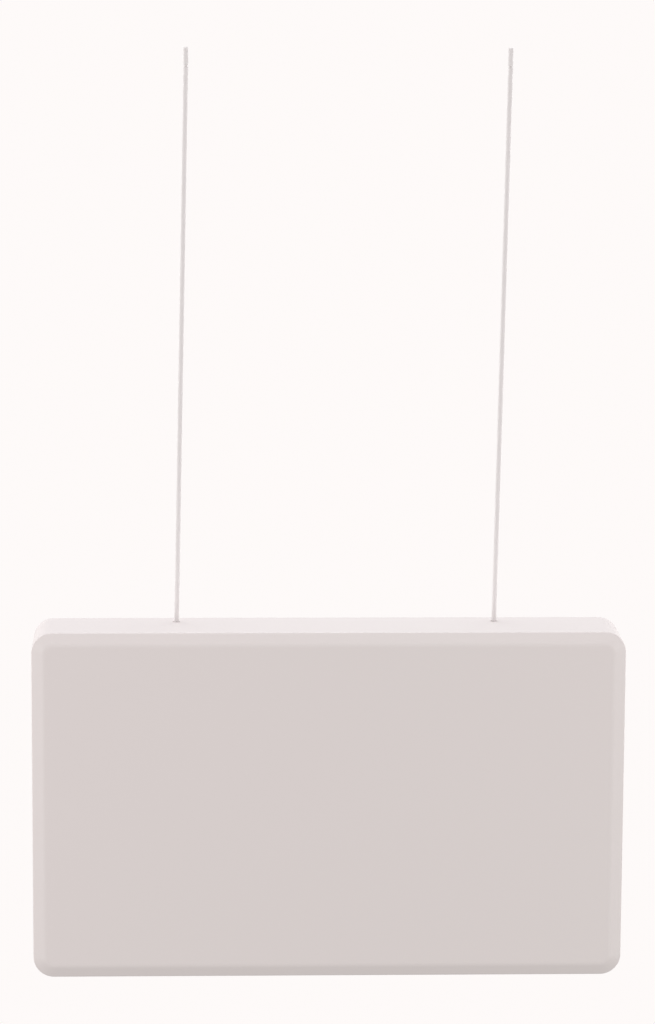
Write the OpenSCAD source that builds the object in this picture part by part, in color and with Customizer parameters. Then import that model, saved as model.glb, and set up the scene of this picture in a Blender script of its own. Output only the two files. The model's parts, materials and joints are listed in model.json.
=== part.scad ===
// Overhead detection gate: a slim antenna housing that hangs from the ceiling on two coated wires.
// Frame: origin midway between the tops of the two end sockets, where the ceiling fittings hold them.
// +X is to the right seen from the front, +Y runs to the back, +Z is up. Millimetres.

/* [Housing] */
// Width of the housing
housing_w = 600; // [500:10:720]
// Height of the housing
housing_h = 358; // [300:1:440]
// Depth of the housing, front face to back face
housing_d = 84; // [70:1:110]
// Corner radius seen from the front
corner_r = 21; // [18:1:28]
// Slope of the front cover's bevelled edge, away from its face
bevel_slope = 24; // [20:1:32]
// Radius of the arc that joins the bevel to the face
bevel_r = 12; // [8:1:16]
// Depth of the bevel
bevel_d = 5.5; // [5:0.25:6]
// Radius of the round between the bevel and the sides
rim_r = 1.5; // [0.5:0.5:2.5]
// Radius of the housing's back edges
back_edge_r = 4; // [3:0.5:6]
// Wall thickness of the two plastic shells
wall = 2.6; // [2.2:0.1:3.6]
// Gap at the seam between the two shells
seam_gap = 0.1; // [0.05:0.05:0.4]

/* [Suspension] */
// Wire length between the centres of its two end balls
wire_len = 570; // [200:1:2000]
// Outer diameter of the coated wire
wire_d = 5; // [3:0.1:5]
// Diameter of the bare rope at the wire's necks
rope_d = 2; // [1.6:0.1:2.2]
// Distance between the two wires
wire_pitch = 324; // [240:2:400]
// Distance from the housing's middle to the middle of the two wires
wire_offset = 8; // [0:1:20]
// Sideways lean of the wires as the housing hangs
wire_lean = 1; // [0:0.1:2]
// Diameter of the end balls
ball_d = 4; // [3.6:0.1:4.6]
// Outer diameter of the end sockets at the ceiling
socket_d = 5.2; // [5.2:0.1:8]
// Length of the end sockets
socket_len = 18; // [5.4:0.1:24]
// Largest tilt of a wire in the housing's ball seat
seat_tilt = 12.5; // [8:0.5:15]

/* [Chassis] */
// Thickness of the steel chassis plate
chassis_t = 3; // [2:0.1:3.2]
// Space between the chassis and the back wall
back_gap = 9; // [8.5:0.5:12]
// Distance from the chassis to the wires
hanger_reach = 7.5; // [7.2:0.1:12]
// Margin between the chassis and the housing's sides
chassis_margin = 30; // [26:1:36]

/* [Antenna] */
// Side of the square antenna patches
patch_size = 112; // [90:1:118]
// Thickness of the patches
patch_t = 1; // [0.8:0.1:1.6]
// Depth of the patches behind the front face
patch_depth = 16; // [14:0.5:18]
// Side of the triangles cut off two corners of each patch
patch_cut = 12; // [6:0.5:14]
// Air gap between the patches and the reflector
patch_gap = 11; // [8:0.5:12]
// Thickness of the reflector sheet
reflector_t = 0.8; // [0.8:0.1:1.5]
// Diameter of the coaxial jumpers
coax_d = 2.2; // [1.8:0.1:3]

/* [Connector bay] */
// Width of the hatch opening in the back wall
bay_w = 150; // [140:1:165]
// Height of the hatch opening in the back wall
bay_h = 74; // [66:1:84]
// Depth of the bay behind the housing's back face
bay_depth = 22; // [20:0.5:24]
// Distance from the housing's top to the middle of the bay
bay_down = 98; // [92:1:104]
// Thickness of the hatch
hatch_t = 2.4; // [2:0.1:2.6]
// Radius of the hatch's hinge barrel
barrel_r = 3; // [2.6:0.1:3.4]
// Gap round the hatch
hatch_gap = 0.5; // [0.4:0.1:0.8]
// Diameter of the hinge pins
hinge_pin_d = 2; // [1.6:0.1:2.4]
// Diameter of the reset button
button_d = 5; // [4:0.1:6]
// Travel of the reset button
button_travel = 0.8; // [0.5:0.1:1]

/* [Underside] */
// Length of the alarm light's window
light_len = 220; // [160:5:260]
// Width of the alarm light's window
light_w = 16; // [12:1:20]
// Diameter of the sounder
sounder_d = 40; // [32:1:46]
// Distance from the housing's middle to the sounder
sounder_x = 190; // [170:1:195]

/* [Hidden] */
$fn = 96;

eps = 0.02;        // lets a cut run past a face
screw_clear = 0.1; // radial clearance of a screw in its hole
slip = 0.05;       // radial running clearance of balls and hinge pins

// Depths, measured from the front face
cover_d = bevel_d + rim_r * tan((90 - bevel_slope) / 2);
seam = cover_d + seam_gap;
chassis_rear = housing_d - wall - back_gap;
chassis_front = chassis_rear - chassis_t;
wire_depth = chassis_front - hanger_reach;
reflector_front = patch_depth + patch_t + patch_gap;
reflector_rear = reflector_front + reflector_t;

// Edge of the front cover, outward from the corner's axis: the bevel's arc starts at bevel_u
bevel_flat = (bevel_d - bevel_r * (1 - cos(bevel_slope))) / tan(bevel_slope);
bevel_u = corner_r - bevel_flat - bevel_r * sin(bevel_slope);
turn_steps = 8;   // chords in the arc from face to bevel
rim_steps = 5;    // chords in the round from bevel to side
tongue_z = bevel_d - 1;

// Screws and their seats
post_inset = [58, 42];  // corner posts, from the housing's sides and ends
post_mid_x = 90;        // two more posts along the bottom
post_r = 5;
m4_r = 2;
m3_r = 1.5;
m4_pocket_r = 4.5;      // pocket for an M4 head in the back wall
m4_pocket = 3;
m3_head_r = 2.8;        // head of a cover screw, its height and its pocket
m3_head = 1.2;
m3_pocket_r = 3;
m3_pocket = 1.3;
hex_head_r = 1.1;       // hexagonal socket of a cover screw

// Balls and wires
ball_r = ball_d / 2;
cup_r = ball_r + slip;
wire_r = wire_d / 2;
lip = 0.48 * ball_r;        // height of a cup's lip beyond the ball's centre
neck_len = ball_r + 0.35;   // from a ball's centre to the wire's coating
seat_gap = 0.7;             // between a ball seat and the housing's top wall
seat_depth = wall + seat_gap + lip;
swing_z = -(socket_len - lip);
run_x = wire_len * sin(wire_lean);
run_z = wire_len * cos(wire_lean);
housing_x = -run_x - wire_offset;
housing_top = swing_z - run_z + seat_depth;
function upper_ball_at(side) = [side * wire_pitch / 2, 0, swing_z];
function lower_ball_at(side) = upper_ball_at(side) - [run_x, 0, run_z];
function wire_x(side) = wire_offset + side * wire_pitch / 2;

// Hangers
hanger_w = 32;
hanger_h = 18;
hanger_front = 8;   // block in front of the wire
seat_r = 5;
seat_flange_r = 6.6;
seat_flange_t = 1.6;
plug_bore_r = ball_r + 2 * slip;
hanger_top = seat_depth - lip + 0.2;
hanger_bottom = hanger_top + hanger_h;
hanger_screw_x = 11;

// Chassis and reflector, in the housing's front view
chassis_w = housing_w - 2 * chassis_margin;
chassis_top = hanger_top + 3;
chassis_bottom = housing_h - 20;
tray_w = chassis_w;
tray_top = 26;
tray_h = housing_h - 2 * tray_top;
tray_rim = 9;
standoff_x = chassis_w / 2 - 9;
standoff_r = 4;
standoffs = [
    for (x = [-standoff_x, standoff_x], y = [34, housing_h / 2, housing_h - 34]) [x, y],
    [0, 34], [0, housing_h - 34]
];
patch_cols = 3;
patch_rows = 2;
function patch_at(i) = [
    ((i % patch_cols) - 1) * tray_w / patch_cols,
    tray_top + (floor(i / patch_cols) + 0.5) * tray_h / patch_rows
];
patch_count = patch_cols * patch_rows;
patch_feed_y = 18;       // feed point's distance from the patch's middle
function feed_at(i) = patch_at(i) + [0, patch_feed_y];
spacer_r = 4;
spacer_inset = 14;
probe_r = 1.5;
bush_r = 3;
bush_flange_r = 5;

// Boards
board_t = 1.6;
board_lift = 6;
board_rear = chassis_front - board_lift;
board_front = board_rear - board_t;
board_inset = 4.5;
side_board_w = 112;
side_board_x = chassis_w / 2 - 24 - side_board_w / 2;
side_board_top = 52;
reader_h = 100;
power_h = 92;
switch_w = 120;
switch_h = 36;
sink_w = 100;
sink_h = 72;
fin_pairs = 6;
fin_step = 8;
fin_t = 1.6;
switch_top = bay_down + bay_h / 2 + 16;
coax_row = switch_top + 20;
coax_step = 19;
coax_bend = 6;
feed_socket_t = 3;
coax_plane = reflector_rear + feed_socket_t + coax_bend + 1.5;

// Back wall
sink_y = side_board_top + reader_h / 2 + 4;
vent_w = 3;
vent_h = 52;
vent_step = 8;
vent_count = 12;
vent_up = 98;          // lower vents, from the bottom
plate_w = 72;          // recess for the rating plate
plate_h = 40;
plate_up = 96;
plate_recess = 0.5;
plate_t = 0.4;
plate_gap = 0.3;

// Connector bay
bay_wall = 2.2;
bay_flange = 6;
scoop_r = 8;
bay_flange_t = 2;
cut_left = -bay_w / 2;
hinge_x = cut_left + barrel_r + hatch_gap;
hinge_depth = housing_d - barrel_r;
bay_in_left = hinge_x + barrel_r + 0.3 + bay_wall;
bay_in_right = bay_w / 2 - 11;
bay_in_h = bay_h - 6;
bay_floor_rear = housing_d - bay_depth;
bay_floor_front = bay_floor_rear - bay_wall;
bay_rim = housing_d - wall - 0.1;
jack_depth = 12;
panel_gap = 0.2;        // round each connector in the bay's floor
interface_rear = bay_floor_front - jack_depth;
interface_front = interface_rear - board_t;
interface_w = 128;
interface_h = 50;
interface_x = (bay_in_left + bay_in_right) / 2;
interface_holes = [
    for (x = [-1, 1], y = [-1, 1])
        [interface_x + x * (interface_w / 2 - board_inset), bay_down + y * (interface_h / 2 - board_inset)]
];
jack_w = 16;
jack_h = 13.6;
plug_w = 11.9;          // socket for an eight-way plug, its latch and its contacts
plug_h = 8.2;
plug_depth = 11;
latch_w = 6;
latch_h = 3;
contact_step = 1.02;
jack_x = interface_x - 48;
port_x = interface_x - 25;
port_w = 9;
port_h = 3.3;
button_x = interface_x - 8;
button_proud = 1.2;     // button standing out of the bay's floor
switch_lift = 4;
pipe_x = [4, 11, 18];
pipe_r = 1.5;
power_jack_x = interface_x + 32;
power_jack_r = 4.5;
power_socket_r = 2.9;
power_pin_r = 1;
terminal_x = interface_x + 53;
terminal_w = 20;
terminal_h = 9;
terminal_ways = 4;
terminal_step = 4.6;
notch_x = interface_x + 32;
notch_r = 5;
notch_h = 13;
hinge_pin_len = 12;
lug_len = 7;
magnet_r = 2;
magnet_t = 3;
keeper_r = 2.4;
keeper_t = 0.8;
magnet_x = bay_in_right + bay_wall + magnet_r + 1.7;
magnet_dy = 22;

// Underside
light_v = wire_depth - 12;
light_flange = 2;
light_gap = 0.15;
light_flange_t = 1.4;
led_count = 8;
led_drop = 9;          // light board above the diffuser's flange
sound_pitch = 5;
sound_hole_r = 1.1;
sounder_h = 14;
cover_screw_x = [72 - housing_w / 2, -84, 84, housing_w / 2 - 72];
cover_screw_v = seam + 7;
screw_pad = 9;
catch_h = 1.4;

// ---------------------------------------------------------------- helpers

// Puts a piece drawn in the housing's front view (x right, y down, z depth) into the row's frame.
module hung() translate([housing_x, -wire_depth, housing_top]) rotate([-90, 0, 0]) children();

// A block between two corners.
module block(a, b) translate(a) cube(b - a);

// A block centred on x and y, between two depths.
module slab(x, y, w, h, z0, z1) translate([x - w / 2, y - h / 2, z0]) cube([w, h, z1 - z0]);

// A cylinder along depth.
module rod(x, y, r, z0, z1) translate([x, y, z0]) cylinder(r = r, h = z1 - z0);

// A cylinder or cone along the down direction.
module drop(x, v, y0, y1, r0, r1) translate([x, y0, v]) rotate([-90, 0, 0])
    cylinder(r1 = r0, r2 = r1, h = y1 - y0);

// A rounded rectangle from the housing's plan, inset by a distance.
module plan(inset) {
    r = corner_r - inset;
    w = housing_w - 2 * inset;
    h = housing_h - 2 * inset;
    translate([-w / 2, inset]) {
        translate([r, 0]) square([w - 2 * r, h]);
        translate([0, r]) square([w, h - 2 * r]);
        for (x = [r, w - r], y = [r, h - r]) translate([x, y]) circle(r);
    }
}

// Sweeps an edge profile (x outward from the corner's axis, y depth) round the plan and fills the middle.
module swept(z0, z1) {
    ax = housing_w / 2 - corner_r;
    for (c = [[ax, housing_h - corner_r, 0], [-ax, housing_h - corner_r, 90],
              [-ax, corner_r, 180], [ax, corner_r, 270]])
        translate([c[0], c[1], 0]) rotate(c[2]) rotate_extrude(angle = 90) children();
    for (s = [[ax, housing_h - corner_r, 0, housing_h - 2 * corner_r],
              [-ax, housing_h - corner_r, 90, 2 * ax],
              [-ax, corner_r, 180, housing_h - 2 * corner_r],
              [ax, corner_r, 270, 2 * ax]])
        translate([s[0], s[1], 0]) rotate(s[2]) rotate([90, 0, 0]) linear_extrude(s[3]) children();
    block([-ax, corner_r, z0], [ax, housing_h - corner_r, z1]);
}

// A slot with round ends, standing along y.
module slot2d(w, h) {
    square([w, h - w], center = true);
    for (y = [-1, 1]) translate([0, y * (h - w) / 2]) circle(w / 2);
}

// A pan-head screw along depth with its head's seat at z; dir 1 points the shaft to greater depth.
module screw(x, y, z, r, len, dir) translate([x, y, z]) rotate([dir > 0 ? 0 : 180, 0, 0])
    difference() {
        union() {
            cylinder(r = r, h = len);
            translate([0, 0, -1.1 * r]) cylinder(r = 1.85 * r, h = 1.1 * r);
        }
        translate([0, 0, -1.1 * r - eps]) cylinder(r = 0.85 * r, h = 0.7 * r, $fn = 6);
    }

// ---------------------------------------------------------------- shells

// The line of the cover's face and the soft turn to its bevel, moved in by an inset.
function face_line(inset) = concat([[0, inset]], [
    for (i = [0:turn_steps]) let (a = bevel_slope * i / turn_steps)
        [bevel_u + (bevel_r - inset) * sin(a), bevel_r - (bevel_r - inset) * cos(a)]
]);

// The cover's outer edge profile: face, turn, bevel and round, which ends square on the rim.
module cover_outside() polygon(concat([[0, cover_d]], face_line(0), [
    for (i = [0:rim_steps]) let (a = bevel_slope + (90 - bevel_slope) * i / rim_steps)
        [corner_r - rim_r + rim_r * sin(a), cover_d - rim_r * cos(a)]
]));

// The hollow inside it: a wall's thickness in, with the bevel's line run on to a depth past the rim.
module cover_inside(z) {
    line = face_line(wall);
    end = line[turn_steps + 1];
    polygon(concat([[0, z]], line, [[end[0] + (z - end[1]) / tan(bevel_slope), z]]));
}

module front_cover() color("whitesmoke") hung() {
    tongue = wall + 0.4;
    difference() {
        swept(0, cover_d) cover_outside();
        swept(wall, cover_d + 1) cover_inside(cover_d + 1);
    }
    // the tongue that locates the cover inside the rear housing
    translate([0, 0, tongue_z]) linear_extrude(seam + 5 - tongue_z) difference() {
        plan(tongue);
        plan(tongue + 1.8);
    }
    // screw pads along the bottom edge
    for (x = cover_screw_x) difference() {
        block([x - screw_pad / 2, housing_h - tongue - screw_pad, tongue_z],
              [x + screw_pad / 2, housing_h - tongue, cover_screw_v + 5]);
        drop(x, cover_screw_v, housing_h - tongue - screw_pad + 2, housing_h, m3_r + slip, m3_r + slip);
    }
    // hooks along the top edge
    for (x = cover_screw_x) {
        block([x - 9, wall + catch_h + 0.3, tongue_z], [x + 9, wall + catch_h + 2.1, seam + 14]);
        block([x - 9, wall + 0.3, seam + 12], [x + 9, wall + catch_h + 2.1, seam + 14]);
    }
}

// The rear shell's edge profile, with its walls moved in by an inset.
module rear_profile(inset, z0) {
    r = max(back_edge_r - inset, 0.6);
    u = corner_r - inset;
    z1 = housing_d - inset;
    translate([0, z0]) square([u, z1 - r - z0]);
    translate([0, z0]) square([u - r, z1 - z0]);
    translate([u - r, z1 - r]) circle(r);
}

screw_posts = [
    for (x = [-1, 1], y = [post_inset[1], housing_h - post_inset[1]])
        [x * (housing_w / 2 - post_inset[0]), y],
    for (x = [-1, 1]) [x * post_mid_x, housing_h - post_inset[1]]
];

// Four groups of slots, the upper two at the height of the heat sink.
module vents() {
    middle = (vent_count - 1) / 2;
    for (x = [-1, 1], y = [sink_y, housing_h - vent_up], i = [-middle:middle])
        translate([x * side_board_x + i * vent_step, y]) slot2d(vent_w, vent_h);
}

module rear_housing() color("whitesmoke") hung() difference() {
    union() {
        difference() {
            swept(seam, housing_d) rear_profile(0, seam);
            swept(seam - 1, housing_d - wall) rear_profile(wall, seam - 1);
        }
        // posts that stand on the chassis
        for (p = screw_posts) rod(p[0], p[1], post_r, chassis_rear, housing_d - wall + eps);
        // hinge lugs behind the back wall
        for (y = [-1, 1]) slab(hinge_x - 0.5, bay_down + y * (bay_h + lug_len) / 2, 2 * barrel_r + 1,
                               lug_len, hinge_depth - barrel_r - 1, housing_d - wall + eps);
        // catches for the cover's hooks
        for (x = cover_screw_x) block([x - 10, wall - eps, seam + 9], [x + 10, wall + catch_h, seam + 11.5]);
    }
    // hatch opening and its finger scoop
    slab(0, bay_down, bay_w, bay_h, housing_d - wall - eps, housing_d + 1);
    rod(bay_w / 2 + 1, bay_down, scoop_r, housing_d - wall - eps, housing_d + 1);
    // hinge pin holes
    drop(hinge_x, hinge_depth, bay_down - bay_h / 2 - lug_len + 1, bay_down + bay_h / 2 + lug_len - 1,
         hinge_pin_d / 2, hinge_pin_d / 2);
    translate([0, 0, housing_d - wall - 1]) linear_extrude(wall + 2) vents();
    for (p = screw_posts) {
        rod(p[0], p[1], m4_r + screw_clear, chassis_rear - 1, housing_d + 1);
        rod(p[0], p[1], m4_pocket_r, housing_d - m4_pocket, housing_d + 1);
    }
    // recess for the rating plate
    slab(0, housing_h - plate_up, plate_w, plate_h, housing_d - plate_recess, housing_d + 1);
    // wire holes in the top wall, wide enough for the wires' tilt
    for (s = [-1, 1]) drop(wire_x(s), wire_depth, -1, wall + 1,
        (seat_depth + 1) * tan(seat_tilt) + wire_r / cos(seat_tilt) + 0.2,
        (seat_depth - wall - 1) * tan(seat_tilt) + wire_r / cos(seat_tilt) + 0.2);
    // underside: cover screws, light window and sound holes
    for (x = cover_screw_x) {
        drop(x, cover_screw_v, housing_h - wall - 1, housing_h + 1, m3_r + screw_clear, m3_r + screw_clear);
        drop(x, cover_screw_v, housing_h - m3_pocket, housing_h + 1, m3_pocket_r, m3_pocket_r);
    }
    block([-light_len / 2, housing_h - wall - 1, light_v - light_w / 2],
          [light_len / 2, housing_h + 1, light_v + light_w / 2]);
    for (i = [-3:3], j = [-2:2]) if (i * i + j * j < 12)
        drop(sounder_x + i * sound_pitch, light_v + j * sound_pitch, housing_h - wall - 1, housing_h + 1,
             sound_hole_r, sound_hole_r);
}

// Screws that hold the cover from below.
module cover_screws() color("silver") hung()
    for (x = cover_screw_x) translate([x, housing_h - m3_pocket, cover_screw_v]) rotate([90, 0, 0])
        difference() {
            union() {
                cylinder(r = m3_r, h = screw_pad - 1);
                translate([0, 0, -m3_head]) cylinder(r = m3_head_r, h = m3_head);
            }
            translate([0, 0, -m3_head - eps]) cylinder(r = hex_head_r, h = 0.7 * m3_head, $fn = 6);
        }

// Screws from the back through the housing's posts into the chassis.
module housing_screws() color("silver") hung()
    for (p = screw_posts)
        screw(p[0], p[1], housing_d - m4_pocket, m4_r, housing_d - m4_pocket - chassis_front + 4, -1);

module light_diffuser() color("white", 0.8) hung() {
    block([-light_len / 2 + light_gap, housing_h - wall, light_v - light_w / 2 + light_gap],
          [light_len / 2 - light_gap, housing_h, light_v + light_w / 2 - light_gap]);
    flange_x = light_len / 2 + light_flange;
    flange_v = light_w / 2 + light_flange;
    block([-flange_x, housing_h - wall - light_flange_t, light_v - flange_v],
          [flange_x, housing_h - wall, light_v + flange_v]);
}

module rating_plate() color("silver") hung()
    slab(0, housing_h - plate_up, plate_w - 2 * plate_gap, plate_h - 2 * plate_gap,
         housing_d - plate_recess, housing_d - plate_recess + plate_t);

// ---------------------------------------------------------------- hatch and connector bay

module hatch() color("whitesmoke") hung() {
    top = bay_down - bay_h / 2 + hatch_gap;
    bottom = bay_down + bay_h / 2 - hatch_gap;
    free_edge = bay_w / 2 - hatch_gap;
    difference() {
        union() {
            block([hinge_x, top, housing_d - hatch_t], [free_edge, bottom, housing_d]);
            drop(hinge_x, hinge_depth, top, bottom, barrel_r, barrel_r);
        }
        for (y = [top - eps, bottom - hinge_pin_len / 2 - 1])
            drop(hinge_x, hinge_depth, y, y + hinge_pin_len / 2 + 1 + eps,
                 hinge_pin_d / 2 + slip, hinge_pin_d / 2 + slip);
        // cable outlet
        slab(notch_x, top + (notch_h - notch_r) / 2 - 1, 2 * notch_r, notch_h - notch_r + 2,
             housing_d - hatch_t - 1, housing_d + 1);
        rod(notch_x, top + notch_h - notch_r, notch_r, housing_d - hatch_t - 1, housing_d + 1);
        // keeper pockets
        for (y = [-1, 1]) rod(magnet_x, bay_down + y * magnet_dy, keeper_r + slip,
                              housing_d - hatch_t - 1, housing_d - hatch_t + keeper_t);
    }
}

module hatch_keepers() color("silver") hung() for (y = [-1, 1])
    rod(magnet_x, bay_down + y * magnet_dy, keeper_r, housing_d - hatch_t, housing_d - hatch_t + keeper_t);

module hatch_magnets() color("dimgray") hung() for (y = [-1, 1])
    rod(magnet_x, bay_down + y * magnet_dy, magnet_r, bay_rim - magnet_t, bay_rim);

module hinge_pins() color("silver") hung() for (y = [-1, 1])
    drop(hinge_x, hinge_depth, bay_down + y * bay_h / 2 - hinge_pin_len / 2,
         bay_down + y * bay_h / 2 + hinge_pin_len / 2, hinge_pin_d / 2, hinge_pin_d / 2);

module connector_bay() color("gainsboro") hung() difference() {
    y0 = bay_down - bay_in_h / 2;
    y1 = bay_down + bay_in_h / 2;
    union() {
        block([bay_in_left - bay_wall, y0 - bay_wall, bay_floor_front],
              [bay_in_right + bay_wall, y1 + bay_wall, bay_rim]);
        block([bay_in_left - bay_wall, y0 - bay_flange, bay_rim - bay_flange_t],
              [bay_w / 2 + scoop_r + 3, y1 + bay_flange, bay_rim]);
        // pads round the magnets
        for (y = [-1, 1]) rod(magnet_x, bay_down + y * magnet_dy, magnet_r + 1.6,
                              bay_rim - magnet_t - 1, bay_rim);
        // posts that the chassis presses on
        for (x = [bay_in_left + 6, bay_in_right - 6], y = [y0 - bay_wall - 2, y1 + bay_wall + 2])
            rod(x, y, 1.8, chassis_rear, bay_rim - eps);
        // posts for the interface board
        for (p = interface_holes) rod(p[0], p[1], 3, interface_rear, bay_floor_front + eps);
    }
    block([bay_in_left, y0, bay_floor_rear], [bay_in_right, y1, housing_d]);
    for (y = [-1, 1]) rod(magnet_x, bay_down + y * magnet_dy, magnet_r + slip, bay_rim - magnet_t, housing_d);
    // openings in the floor for the connectors
    for (c = [[jack_x, jack_w, jack_h], [port_x, port_w, port_h], [terminal_x, terminal_w, terminal_h]])
        slab(c[0], bay_down, c[1] + 2 * panel_gap, c[2] + 2 * panel_gap,
             bay_floor_front - 1, bay_floor_rear + 1);
    rod(button_x, bay_down, button_d / 2 + panel_gap, bay_floor_front - 1, bay_floor_rear + 1);
    rod(power_jack_x, bay_down, power_jack_r + panel_gap, bay_floor_front - 1, bay_floor_rear + 1);
    for (x = pipe_x) rod(interface_x + x, bay_down, pipe_r + slip, bay_floor_front - 1, bay_floor_rear + 1);
    for (p = interface_holes) rod(p[0], p[1], m3_r + slip, interface_rear - 1, interface_rear + 7);
}

module interface_board() color("seagreen") hung() difference() {
    slab(interface_x, bay_down, interface_w, interface_h, interface_front, interface_rear);
    for (p = interface_holes) rod(p[0], p[1], m3_r + screw_clear, interface_front - 1, interface_rear + 1);
}

module network_jack() color("silver") hung() difference() {
    slab(jack_x, bay_down, jack_w, jack_h, interface_rear, bay_floor_rear + 1);
    slab(jack_x, bay_down - 0.6, plug_w, plug_h, bay_floor_rear - plug_depth, bay_floor_rear + 2);
    slab(jack_x, bay_down + 4.3, latch_w, latch_h, bay_floor_rear - plug_depth, bay_floor_rear + 2);
}

module network_contacts() color("gold") hung() for (i = [-3.5:3.5])
    slab(jack_x + i * contact_step, bay_down - 4.25, 0.45, 0.9, bay_floor_rear - plug_depth + 0.1,
         bay_floor_rear - 3);

module power_jack() color("dimgray") hung() {
    difference() {
        rod(power_jack_x, bay_down, power_jack_r, interface_rear, bay_floor_rear + 1);
        rod(power_jack_x, bay_down, power_socket_r, interface_rear + 2, bay_floor_rear + 2);
    }
    rod(power_jack_x, bay_down, power_pin_r, interface_rear + 2 - eps, bay_floor_rear);
}

module io_terminal() color("yellowgreen") hung() difference() {
    slab(terminal_x, bay_down, terminal_w, terminal_h, interface_rear, bay_floor_rear + 2);
    for (i = [0:terminal_ways - 1]) {
        x = terminal_x + (i - (terminal_ways - 1) / 2) * terminal_step;
        slab(x, bay_down + 1.7, 3.2, 3, bay_floor_rear - 6, bay_floor_rear + 3);
        rod(x, bay_down - 2.2, 1.3, bay_floor_rear, bay_floor_rear + 3);
    }
}

module service_port() color("silver") hung() difference() {
    translate([port_x, bay_down, interface_rear]) linear_extrude(bay_floor_rear + 0.6 - interface_rear)
        rotate(90) slot2d(port_h, port_w);
    translate([port_x, bay_down, interface_rear + 6]) linear_extrude(bay_depth)
        rotate(90) slot2d(port_h - 0.7, port_w - 0.7);
}

module reset_button() color("dimgray") hung()
    rod(button_x, bay_down, button_d / 2, interface_rear + switch_lift + button_travel,
        bay_floor_rear + button_proud);

module reset_switch() color("black") hung()
    slab(button_x, bay_down, 6, 6, interface_rear, interface_rear + switch_lift);

module light_pipes() color("lightcyan") hung() for (x = pipe_x)
    rod(interface_x + x, bay_down, pipe_r, interface_rear + 1.5, bay_floor_rear + 0.4);

// ---------------------------------------------------------------- suspension

module end_socket(side) color("gainsboro") translate([upper_ball_at(side)[0], 0, -socket_len])
    difference() {
        cylinder(d = socket_d, h = socket_len);
        translate([0, 0, lip]) sphere(cup_r);
    }

module upper_ball(side) color("silver") translate(upper_ball_at(side)) sphere(ball_r);

module lower_ball(side) color("silver") translate(lower_ball_at(side)) sphere(ball_r);

// The coated rope between two bare necks, whose ends are hollowed to turn on the balls.
module wire(side) color("gainsboro") translate(lower_ball_at(side)) rotate([0, wire_lean, 0])
    difference() {
        union() {
            translate([0, 0, neck_len]) cylinder(r = wire_r, h = wire_len - 2 * neck_len);
            cylinder(d = rope_d, h = wire_len);
        }
        sphere(cup_r);
        translate([0, 0, wire_len]) sphere(cup_r);
    }

module hanger_block(side) color("lightgray") hung() difference() {
    block([wire_x(side) - hanger_w / 2, hanger_top, wire_depth - hanger_front],
          [wire_x(side) + hanger_w / 2, hanger_bottom, chassis_front]);
    drop(wire_x(side), wire_depth, hanger_top - 1, hanger_bottom + 1, seat_r + slip, seat_r + slip);
    for (x = [-1, 1])
        rod(wire_x(side) + x * hanger_screw_x, hanger_top + hanger_h / 2, m4_r + slip, chassis_front - 9,
            chassis_front + 1);
}

// Flanged bushes from below, each with the cup for its wire's ball at its top.
module ball_seats() color("darkgray") hung() for (s = [-1, 1]) difference() {
    union() {
        drop(wire_x(s), wire_depth, seat_depth - lip, hanger_bottom + seat_flange_t, seat_r, seat_r);
        drop(wire_x(s), wire_depth, hanger_bottom, hanger_bottom + seat_flange_t,
             seat_flange_r, seat_flange_r);
    }
    translate([wire_x(s), seat_depth, wire_depth]) sphere(cup_r);
    drop(wire_x(s), wire_depth, seat_depth, hanger_bottom + seat_flange_t + 1, plug_bore_r, plug_bore_r);
}

// Grub screws that keep the balls in their seats.
module seat_plugs() color("dimgray") hung() for (s = [-1, 1]) difference() {
    drop(wire_x(s), wire_depth, seat_depth + ball_r + 0.2, hanger_bottom + seat_flange_t,
         plug_bore_r - slip, plug_bore_r - slip);
    translate([wire_x(s), hanger_bottom + seat_flange_t + eps, wire_depth]) rotate([90, 0, 0])
        cylinder(r = 1.2, h = 3, $fn = 6);
}

module hanger_screws() color("silver") hung() for (s = [-1, 1], x = [-1, 1])
    screw(wire_x(s) + x * hanger_screw_x, hanger_top + hanger_h / 2, chassis_rear, m4_r, chassis_t + 8, -1);

// ---------------------------------------------------------------- chassis and antenna

module chassis_plate() color("lightsteelblue") hung() difference() {
    union() {
        block([-chassis_w / 2, chassis_top, chassis_front], [chassis_w / 2, chassis_bottom, chassis_rear]);
        for (x = [-1, 1]) slab(x * (chassis_w / 2 - chassis_t / 2), (chassis_top + chassis_bottom) / 2 + 20,
            chassis_t, chassis_bottom - chassis_top - 80, chassis_front - 10, chassis_front + eps);
    }
    slab(interface_x, bay_down, bay_in_right - bay_in_left + 2 * bay_wall + 1, bay_in_h + 2 * bay_wall + 1,
         chassis_front - 1, chassis_rear + 1);
    for (p = screw_posts) rod(p[0], p[1], m4_r + screw_clear, chassis_front - 1, chassis_rear + 1);
    for (s = [-1, 1], x = [-1, 1])
        rod(wire_x(s) + x * hanger_screw_x, hanger_top + hanger_h / 2, m4_r + screw_clear,
            chassis_front - 1, chassis_rear + 1);
}

module reflector_standoffs() color("silver") hung() for (p = standoffs) difference() {
    translate([p[0], p[1], reflector_rear])
        cylinder(r = standoff_r, h = chassis_front - reflector_rear, $fn = 6);
    rod(p[0], p[1], m3_r + slip, reflector_rear - 1, reflector_rear + 10);
}

module reflector_screws() color("silver") hung() for (p = standoffs)
    screw(p[0], p[1], reflector_front, m3_r, 9, 1);

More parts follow.
